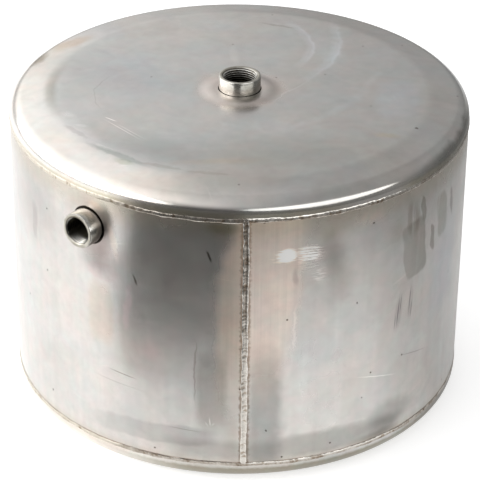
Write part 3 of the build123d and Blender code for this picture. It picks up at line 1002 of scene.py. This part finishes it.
headFinish = {
    "cool": (0.585, 0.586, 0.580), "warm": (0.618, 0.588, 0.556), "cloud": 75 * mm,
    "pink": (1.02, 0.99, 0.985), "green": (0.985, 1.008, 0.995),
    "rimTint": (0.72, 0.69, 0.60), "footTint": (0.55, 0.53, 0.46), "swageTint": (1.03, 0.97, 0.94),
    "scratchTint": (1.12, 1.12, 1.12), "scratchShare": 0.7,
    "speckTint": (0.30, 0.26, 0.24), "speckShare": 0.7,
    "rough": 0.21, "hazeRough": 0.14, "rimRough": 0.04, "knuckleRough": -0.03, "swageRough": 0.10,
    "ragged": (60.0, 9 * mm), "frayed": (260.0, 5 * mm),
    "topOnly": (0.10, 0.15),                           # levels that part the top head from the bottom one
    "rim": (6.5 * mm, 2 * mm), "rimDrift": 2 * mm, "bottomRim": 0.3,
    "cleanLeft": (0.085, 0.055), "cleanRight": (0.105, 0.125),   # ground clean at one place on the right
    # the foot entries set painted shade low on the bottom head
    "foot": (14 * mm, 11 * mm), "footDrift": 2 * mm, "footFrom": (-0.13, -0.03),
    "knuckleLow": (2.5 * mm, 5 * mm), "knuckleHigh": (14.5 * mm, 12 * mm),
    "swage": (40 * mm, 28 * mm), "swageDrift": 8 * mm,
    "soot": (220.0, 3.0, 0.6),
    "grainRise": 0.25, "scratchRise": -0.5, "relief": (0.10, 0.2 * mm),
}
# centre (x, y) and half sizes in mm, turn in degrees
headStains = [
    # shades of the crown
    mark((-84, 30), (56, 74), (0.91, 0.93, 0.96), turn=15, soft=0.9),
    mark((72, 76), (16, 40), (1.05, 1.07, 1.09), turn=14, soft=0.7, rough=0.05),
    mark((34, 118), (17, 2.4), (0.80, 0.80, 0.78), turn=-24, soft=0.7),
    mark((-2, 62), (6, 20), (1.08, 1.08, 1.07), turn=6, soft=0.8),
    mark((120, -17), (21, 37), (1.03, 1.06, 1.10), turn=-4, corner=3, soft=0.4),
    mark((106, -78), (14, 5), (1.02, 0.98, 0.88), turn=-8, soft=0.8),
    mark((-20, -118), (48, 7), (1.05, 0.99, 0.93), turn=3, soft=0.9),
    mark((-2, -146), (112, 24), (0.85, 0.85, 0.84), turn=-2, soft=0.9),
    mark((-62, -97), (56, 26), (0.87, 0.88, 0.87), turn=-34, soft=0.8),
    mark((24, -106), (125, 44), (0.81, 0.81, 0.79), soft=0.9),
    mark((37, -4.5), (27, 1), (1.10, 1.11, 1.12), turn=52, soft=0.7),
    # stains on the left and front shoulder
    mark((-91, -107), (38, 4.5), (0.76, 0.79, 0.78), turn=-40, soft=0.6, edge="frayed"),
    mark((-120, -70), (36, 13), (1.14, 1.15, 1.17), turn=-56, soft=0.8),
    mark((-122, -70), (17, 3), (0.88, 0.88, 0.88), turn=-52, edge="frayed"),
    mark((-60, -125), (20, 3), (0.87, 0.86, 0.84), turn=-22, edge="frayed"),
    mark((-26, -136), (20, 2.6), (0.90, 0.89, 0.87), turn=-10, edge="frayed"),
    mark((-100, -96), (12, 2.6), (1.12, 1.12, 1.12), turn=-42, edge="frayed"),
    mark((-86, -118), (12, 4), (0.84, 0.86, 0.80), turn=-30, soft=0.7),
    mark((-128, -42), (9, 5), (1.14, 1.14, 1.15), turn=-40, soft=0.7, rough=0.06, edge="frayed"),
    mark((-118, -60), (7, 3), (1.12, 1.12, 1.13), turn=-20, soft=0.7, rough=0.06, edge="frayed"),
    mark((-156, 61), (7, 18), (0.60, 0.56, 0.50), turn=-24, soft=0.8),
    mark((-130, 88), (11, 28), (0.92, 0.83, 0.75), turn=-48, soft=0.7),
    # scratches and a speck
    mark((-88, -67), (26, 0.45), (1.45, 1.45, 1.44), turn=-51, soft=0.6, edge="plain"),
    mark((-82, -70), (20, 0.4), (1.35, 1.35, 1.34), turn=-50, soft=0.6, edge="plain"),
    mark((-97, -50), (7, 0.9), (1.50, 1.50, 1.48), turn=-40, soft=0.6, edge="plain"),
    mark((129, -66), (1.6, 1.3), (0.40, 0.36, 0.34)),
]
# arcs on crown and shoulder, wipes and painted light: centre, radius and width in mm, headings in radians
headWipes = [
    arcMark((-14, 80), 72, 6, (-0.5, 0.62), (1.10, 1.12, 1.15)),
    arcMark((-14, 80), 74, 2.2, (-0.4, 0.5), (1.08, 1.09, 1.11)),
    arcMark((-40, 97), 121, 6.5, (-0.66, 0.22), (1.09, 1.11, 1.14)),
    arcMark((-40, 97), 123, 2.2, (-0.6, 0.1), (1.07, 1.08, 1.10)),
    arcMark((-30, 60), 140, 6, (-1.1, -0.2), (1.05, 1.06, 1.07)),
    # painted highlight: these two arcs lighten the left shoulder where the left lamp's reflection lies
    arcMark((0, 0), 162, 32, (2.95, 4.43), (1.46, 1.42, 1.38)),
    arcMark((0, 0), 162, 26, (2.45, 2.95), (1.22, 1.18, 1.14)),
    # painted dark reflection along the knuckle on the right
    arcMark((0, 0), 174.5, 5, (-0.7, -0.1), (0.56, 0.56, 0.54)),
    arcMark((-6, 0), 138, 7, (2.88, 3.34), (0.74, 0.73, 0.70), edge="plain"),
    arcMark((-58, -8), 52, 0.9, (2.5, 3.6), (0.88, 0.88, 0.87)),
]


def makeHeadFinish(worn, stain, wipe):
    finish = headFinish
    material, tree, shader, position = newFinish("pressedSheet")
    x, y, z = parts(position)
    edges = {"plain": position}
    for kind in ("ragged", "frayed"):
        edges[kind] = wobbled(position, *finish[kind])
    marks = useGroup(tree, worn, Flat=position, Cloud=finish["cloud"])
    colour = wornColour(finish, marks)
    soot = noise(position, *finish["soot"]) - 0.5
    onTop = z.ramp(*finish["topOnly"])
    overSeam = abs(z - (seamLow + seamHigh) / 2) - (seamHigh - seamLow) / 2
    rim = (overSeam + soot * finish["rimDrift"]).ramp(*finish["rim"])
    rim = rim * (onTop * (1 - finish["bottomRim"]) + finish["bottomRim"])
    rim = rim * (x.ramp(*finish["cleanLeft"]) + x.ramp(*finish["cleanRight"]))
    colour = tinted(colour, rim, finish["rimTint"])
    # painted shade: the bottom head darkened low down from the middle to the right, the side away from the
    # left lamp
    foot = (z + soot * finish["footDrift"]).ramp(*finish["foot"]) * x.ramp(*finish["footFrom"])
    colour = tinted(colour, foot, finish["footTint"])
    knuckle = overSeam.ramp(*finish["knuckleLow"]) * overSeam.ramp(*finish["knuckleHigh"])
    fromMiddle = (x * x + y * y).calc("SQRT")
    swage = (fromMiddle + soot * finish["swageDrift"]).ramp(*finish["swage"]) * onTop
    colour = tinted(colour, swage, finish["swageTint"])
    rough = marks["Haze"] * finish["hazeRough"] + rim * finish["rimRough"]
    rough = rough + knuckle * finish["knuckleRough"] + swage * finish["swageRough"] + finish["rough"]
    for stroke in headWipes:
        start, end = stroke["headings"]
        mask = useGroup(
            tree, wipe, Flat=edges[stroke["edge"]],
            Centre=(stroke["centre"][0] * mm, stroke["centre"][1] * mm, 0),
            Radius=stroke["radius"] * mm, Width=stroke["width"] * mm,
            Middle=(start + end) / 2, Half=(end - start) / 2,
        )["Mask"]
        colour = tinted(colour, mask, stroke["tint"])
    colour, rough = paintStains(stain, edges, colour, rough, headStains)
    colour = tinted(colour, marks["Scratch"] * finish["scratchShare"], finish["scratchTint"])
    colour = tinted(colour, marks["Speck"] * finish["speckShare"], finish["speckTint"])
    height = marks["Grain"] * finish["grainRise"] + marks["Scratch"] * finish["scratchRise"]
    finishWith(shader, colour, rough, height, *finish["relief"])
    return material


# Weld finish: pale toes, a sooty middle, dark dips between the lumps and a burnt line beside each toe

weldFinish = {
    "pale": (0.74, 0.71, 0.66), "soot": (0.22, 0.168, 0.122), "dip": (0.62, 0.56, 0.50),
    "burnt": (0.40, 0.34, 0.28), "dull": (0.90, 0.87, 0.80),
    "rough": 0.20, "gritRough": 0.25, "sootRough": 0.12, "dullRough": 0.16,
    "grit": (420.0, 3.0, 0.65), "patch": (150.0, 2.0, 0.5), "gritShare": 1.4, "patchShare": 1.8,
    "dipDepth": (-0.05, -0.45), "dipPatch": (0.36, 0.60),
    "toe": (0.90, 0.98), "toeGaps": (90.0, 2.0), "toeGapEdge": (0.42, 0.56),
    "relief": (0.15, 0.3 * mm),
}


def makeWeldFinish():
    finish = weldFinish
    material, tree, shader, position = newFinish("weldMetal")
    across, lump, soot, dull = [trait(tree, name) for name in ("across", "lump", "soot", "dull")]
    grit = noise(position, *finish["grit"])
    patch = noise(position, *finish["patch"])
    uneven = (grit - 0.5) * finish["gritShare"] + (patch - 0.5) * finish["patchShare"]
    soot = soot * (uneven + 1.0)
    colour = blend(soot, finish["pale"], finish["soot"])
    dips = lump.ramp(*finish["dipDepth"]) * patch.ramp(*finish["dipPatch"])
    colour = tinted(colour, dips, finish["dip"])
    gaps = noise(position, *finish["toeGaps"]).ramp(*finish["toeGapEdge"])
    colour = tinted(colour, abs(across).ramp(*finish["toe"]) * gaps, finish["burnt"])
    colour = tinted(colour, dull, finish["dull"])
    rough = (grit - 0.5) * finish["gritRough"] + soot * finish["sootRough"] + dull * finish["dullRough"]
    finishWith(shader, colour, rough + finish["rough"], grit, *finish["relief"])
    return material


# Socket finish: turned bar, tool marks round it, one side darker (on the side socket a painted shade),
# darker thread roots and painted shade deep in the bore

socketFinish = {
    "bright": (0.74, 0.725, 0.690), "dull": (0.54, 0.525, 0.485), "groove": (0.26, 0.23, 0.19),
    # the near-black bore colour is painted shade deep in the bore; the darker side's colour is, on the
    # side socket, a painted shade
    "soil": (0.46, 0.465, 0.44), "face": (0.64, 0.62, 0.57), "bore": (0.020, 0.018, 0.012),
    "rough": 0.20, "smudgeRough": 0.2, "ringRough": 0.1,
    "rings": (2600.0, 0.8), "ringEdge": (0.0, 0.25), "ringShare": 0.35,   # tool marks, along and around
    "smudge": (130.0, 3.0, 0.6, 0.4), "smudgeEdge": (0.35, 0.65), "grooveEdge": (0.35, 0.75),
    "relief": (0.18, 0.1 * mm),
}


def makeSocketFinish():
    finish = socketFinish
    material, tree, shader, position = newFinish("turnedBar")
    inBore, groove, depth = [trait(tree, name) for name in ("inBore", "groove", "depth")]
    spin, soil, face = [trait(tree, name) for name in ("spin", "soil", "face")]
    alongScale, aroundScale = finish["rings"]
    rings = noise(join(depth * alongScale, spin * aroundScale), 1.0, 2.0, 0.6)
    smudge = noise(position, *finish["smudge"])
    colour = blend(smudge.ramp(*finish["smudgeEdge"]), finish["bright"], finish["dull"])
    marks = (rings - 0.5).ramp(*finish["ringEdge"]) * finish["ringShare"]
    colour = blend(marks, colour, finish["dull"])
    # one side darker: on the side socket a painted shade
    colour = tinted(colour, soil, finish["soil"])
    colour = tinted(colour, face, finish["face"])
    colour = tinted(colour, groove.ramp(*finish["grooveEdge"]), finish["groove"])
    # painted shade deep in the bore
    colour = blend(inBore, colour, finish["bore"])
    rough = (smudge - 0.5) * finish["smudgeRough"] + (rings - 0.5) * finish["ringRough"] + finish["rough"]
    finishWith(shader, colour, rough, rings, *finish["relief"])
    return material


# the fillets inside the tank are painted near black: painted shade seen through the gaps round the sockets
rootLook = {"Base Color": (0.05, 0.043, 0.036), "Roughness": 0.55}   # fillets inside the tank

stainGroup, wipeGroup, wornGroup = makeStainGroup(), makeWipeGroup(), makeWornGroup()
sheetFinish = makeSheetFinish(wornGroup, stainGroup)
pressedFinish = makeHeadFinish(wornGroup, stainGroup, wipeGroup)
beadFinish = makeWeldFinish()
barFinish = makeSocketFinish()
rootFinish = newFinish("sootyRoot", **rootLook)[0]
print("finishes made")

makeShell(sheetFinish)
makeHead("topHeadPressing", "top_head", up=1, swaged=True, seed=5, material=pressedFinish)
makeHead("bottomHeadPressing", "bottom_head", up=-1, swaged=False, seed=9, material=pressedFinish)
makeGirthBead("topGirthBead", "top_girth_weld", seamHigh, "girth",
              sag=girthLook["sag"], seed=11, material=beadFinish)
makeGirthBead("bottomGirthBead", "bottom_girth_weld", seamLow, "foot",
              sag=0.0, seed=12, material=beadFinish)
makeLongBead(beadFinish)
for name, look in socketLooks.items():
    makeSocket(name, look, barFinish)
for node in ("top_socket_weld", "side_socket_weld"):  # the fillets inside the tank keep their CAD shape
    frame["nodes"][node].data.materials.clear()
    frame["nodes"][node].data.materials.append(rootFinish)


# Stage: pale floor, soft lamps, a dark flag in front, and the camera

def flatSheet(name, half, level, material):
    # a square that lies level
    mesh = bpy.data.meshes.new(name)
    corners = [(-half, -half, level), (half, -half, level), (half, half, level), (-half, half, level)]
    mesh.from_pydata(corners, [], [(0, 1, 2, 3)])
    mesh.materials.append(material)
    made = bpy.data.objects.new(name, mesh)
    scene.collection.objects.link(made)
    return made


floorLook = {"half": 5.0, "colour": (0.72, 0.72, 0.72), "rough": 0.9, "glow": 0.60, "mirrored": 0.51}


def makeFloor():
    # the glow lifts the floor to white for the camera and for what mirrors it, and lights nothing else
    look = floorLook
    plain = {"Base Color": look["colour"], "Roughness": look["rough"], "Metallic": 0.0}
    plain["Emission Color"] = (1, 1, 1)
    material, tree, shader, _ = newFinish("paleFloor", **plain)
    path = addNode(tree, "LightPath")
    seen, mirrored = Wire(tree, path.outputs["Is Camera Ray"]), Wire(tree, path.outputs["Is Glossy Ray"])
    plug(tree, shader.inputs["Emission Strength"], seen * look["glow"] + mirrored * look["mirrored"])
    flatSheet("floor", look["half"], 0.0, material)


# headings from the front in radians and distances from the middle in metres
flagLook = {
    "half": 4.9, "level": 1 * mm, "colour": (0.03, 0.03, 0.027), "rough": 0.95,
    "left": (-1.10, -0.76), "slant": (0.26, 0.40), "slantTurn": 0.22, "front": (-0.05, 0.05),
    "side": (0.7, 1.3), "right": (2.95, 2.35), "nearLeft": (0.14, 0.48), "nearRight": (0.22, 0.72),
    "leftShare": 0.94, "rightShare": 0.88, "sideShare": 0.36, "farShare": 0.45,
}


def makeFlag():
    # dark cloth on the floor that only mirrors see: it begins close in on the front left, further out and
    # softly on the right; its cover is a product of ramps of heading from the front and of distance
    look = flagLook
    plain = {"Base Color": look["colour"], "Roughness": look["rough"], "Metallic": 0.0}
    material, tree, shader, position = newFinish("darkCloth", **plain)
    x, y, _ = parts(position)
    heading = x.calc("ARCTAN2", y * -1.0)
    away = (x * x + y * y).calc("SQRT")
    slanted = heading + (away.ramp(*look["slant"]) - 1.0) * look["slantTurn"]
    leftward = slanted.ramp(*look["left"]) * heading.ramp(*reversed(look["front"]))
    leftward = leftward * away.ramp(*look["nearLeft"])
    outward = away.ramp(*look["nearRight"])
    side = heading.ramp(*look["side"])
    rightward = heading.ramp(*look["front"]) * side.flip() * outward * look["rightShare"]
    sideward = side * heading.ramp(*look["right"]) * (outward * look["farShare"] + look["sideShare"])
    plug(tree, shader.inputs["Alpha"], leftward * look["leftShare"] + rightward + sideward)
    flag = flatSheet("darkFlag", look["half"], look["level"], material)
    flag.visible_camera = False
    flag.visible_diffuse = False
    flag.visible_shadow = False


makeFloor()
makeFlag()

softboxes = {
    "leftSoftbox": {
        "place": (-1.05, -0.05, 0.52), "aim": (-0.25, 0.1, 0.0), "size": (2.5, 0.7), "radiance": 2.1,
    },
    "frontSoftbox": {
        "place": (1.35, -1.75, 0.70), "aim": (0, 0, 0.2), "size": (3.3, 1.0), "radiance": 1.7,
    },
}
for name, box in softboxes.items():
    lamp = bpy.data.lights.new(name, "AREA")
    lamp.shape = "ELLIPSE"
    lamp.size, lamp.size_y = box["size"]
    lamp.energy = box["radiance"] * math.pi ** 2 / 4 * lamp.size * lamp.size_y
    holder = bpy.data.objects.new(name, lamp)
    holder.location = box["place"]
    holder.rotation_mode = "QUATERNION"
    holder.rotation_quaternion = (Vector(box["aim"]) - Vector(box["place"])).to_track_quat("-Z", "Y")
    holder.visible_camera = False
    scene.collection.objects.link(holder)

# each tone and the ramps of direction (x right, y away, z up) that bound it
roomTone = {
    "low": 0.28, "high": 0.10, "highRise": (0.05, 0.35),
    "back": 0.30, "backAway": (0.1, 0.6), "backLeft": (0.12, -0.10), "backUnder": (0.95, 0.55),
    "left": 1.0, "leftSide": (0.45, -1.0), "leftRise": (0.10, 0.30), "pastFront": (-0.9, -0.4),
    "overFront": (0.15, 0.75),
    "top": 0.05, "topRise": (0.30, 0.60), "topNear": (0.75, 0.30),
    "front": -0.19, "frontNear": (-0.3, -0.8), "frontUnder": (0.55, 0.05),
}


def makeRoom():
    # grey room: lightest on the left, behind and overhead, dark low in front; white to the camera
    world = bpy.data.worlds.new("studio")
    scene.world = world
    world.use_nodes = True
    tree = world.node_tree
    x, y, z = parts(Wire(tree, addNode(tree, "TexCoord").outputs["Generated"]))
    look = roomTone
    tone = z.ramp(*look["highRise"]) * look["high"] + look["low"]
    back = y.ramp(*look["backAway"]) * x.ramp(*look["backLeft"]) * z.ramp(*look["backUnder"])
    tone = back * look["back"] + tone
    clear = y.ramp(*look["pastFront"]).calc("MAXIMUM", z.ramp(*look["overFront"]))
    tone = z.ramp(*look["leftRise"]) * x.ramp(*look["leftSide"]) * clear * look["left"] + tone
    tone = z.ramp(*look["topRise"]) * y.ramp(*look["topNear"]) * look["top"] + tone
    tone = y.ramp(*look["frontNear"]) * z.ramp(*look["frontUnder"]) * look["front"] + tone
    seen = Wire(tree, addNode(tree, "LightPath").outputs["Is Camera Ray"])
    plug(tree, tree.nodes["Background"].inputs["Strength"], seen + tone * seen.flip())
    tree.nodes["Background"].inputs["Color"].default_value = (1, 1, 1, 1)


makeRoom()
print("stage set")

view = {
    "distance": 1.8133, "elevation": math.radians(29.395), "azimuth": math.radians(-1.9),
    "targetLevel": seamLow + 0.0926, "targetRight": 0.0015, "roll": math.radians(0.649),
    "focalPixels": 2299.3, "framePixels": 480, "sensor": 36.0,
}


def makeCamera():
    outward = Vector((math.sin(view["azimuth"]), -math.cos(view["azimuth"]), 0))
    back = outward * math.cos(view["elevation"]) + Vector((0, 0, math.sin(view["elevation"])))
    level = Vector((math.cos(view["azimuth"]), math.sin(view["azimuth"]), 0))
    rise = back.cross(level)
    right = level * math.cos(view["roll"]) + rise * math.sin(view["roll"])
    upward = rise * math.cos(view["roll"]) - level * math.sin(view["roll"])
    lens = bpy.data.cameras.new("camera")
    lens.sensor_width = view["sensor"]
    lens.lens = view["focalPixels"] / view["framePixels"] * view["sensor"]
    camera = bpy.data.objects.new("camera", lens)
    place = Vector((0, 0, view["targetLevel"])) + level * view["targetRight"] + back * view["distance"]
    camera.matrix_world = Matrix.Translation(place) @ Matrix((right, upward, back)).transposed().to_4x4()
    scene.collection.objects.link(camera)
    scene.camera = camera


makeCamera()
scene.view_settings.view_transform = "Standard"
